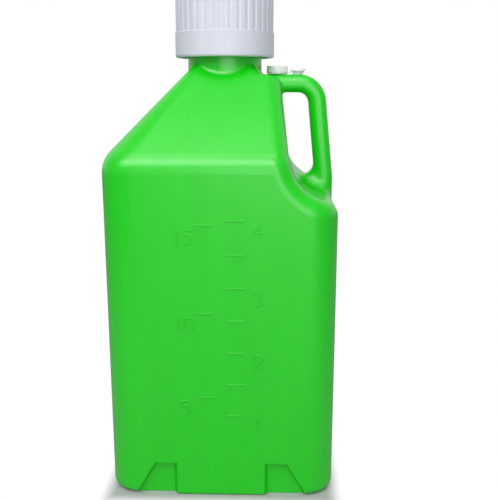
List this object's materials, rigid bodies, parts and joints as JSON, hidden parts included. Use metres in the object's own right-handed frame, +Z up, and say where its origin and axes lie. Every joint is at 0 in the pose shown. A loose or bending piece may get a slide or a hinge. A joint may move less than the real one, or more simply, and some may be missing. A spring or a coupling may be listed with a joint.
{
  "type": "square utility jug",
  "caption": "Square upright liquid jug with pyramid shoulder, side grip handle, wide screw cap, leashed vent cap and raised volume scale.",
  "frame": {"origin": "centre of the flat base, on the surface the jug stands on", "axes": "+Z up through the neck, +X towards the handle, -Y out of the face with the volume scale"},
  "size_m": [0.2414, 0.2419, 0.537],
  "materials": {
    "jug_plastic": "satin blow-moulded polyethylene",
    "cap_plastic": "satin moulded, slightly translucent",
    "vent_plastic": "satin moulded, slightly translucent",
    "seal_rubber": "matt"
  },
  "bodies": {
    "jug": {"jug_shell": "jug_plastic", "leash_button": "vent_plastic"},
    "cap_seal": {"cap_gasket": "seal_rubber"},
    "main_cap": {"main_cap": "cap_plastic"},
    "vent_seal": {"vent_gasket": "seal_rubber", "vent_leash": "vent_plastic"},
    "vent_cap": {"vent_cap": "vent_plastic"}
  },
  "joints": [
    {"name": "cap_lift", "type": "slide", "parent": "jug", "child": "cap_seal", "axis": [0, 0, 1], "range_m": [0, 0.01401]},
    {"name": "cap_turn", "type": "hinge", "parent": "cap_seal", "child": "main_cap", "pos_m": [0, 0, 0.5], "axis": [0, 0, 1], "range_deg": [0, 560]},
    {"name": "vent_lift", "type": "slide", "parent": "jug", "child": "vent_seal", "axis": [0, 0, 1], "range_m": [0, 0.00254], "deforming": ["vent_leash"]},
    {"name": "vent_turn", "type": "hinge", "parent": "vent_seal", "child": "vent_cap", "pos_m": [0.05775, 0, 0.448], "axis": [0, 0, 1], "range_deg": [0, 380]}
  ],
  "couplings": [
    {"joint": "cap_lift", "follows": "cap_turn", "m_per_rad": 0.0014324},
    {"joint": "vent_lift", "follows": "vent_turn", "m_per_rad": 0.00038197}
  ]
}
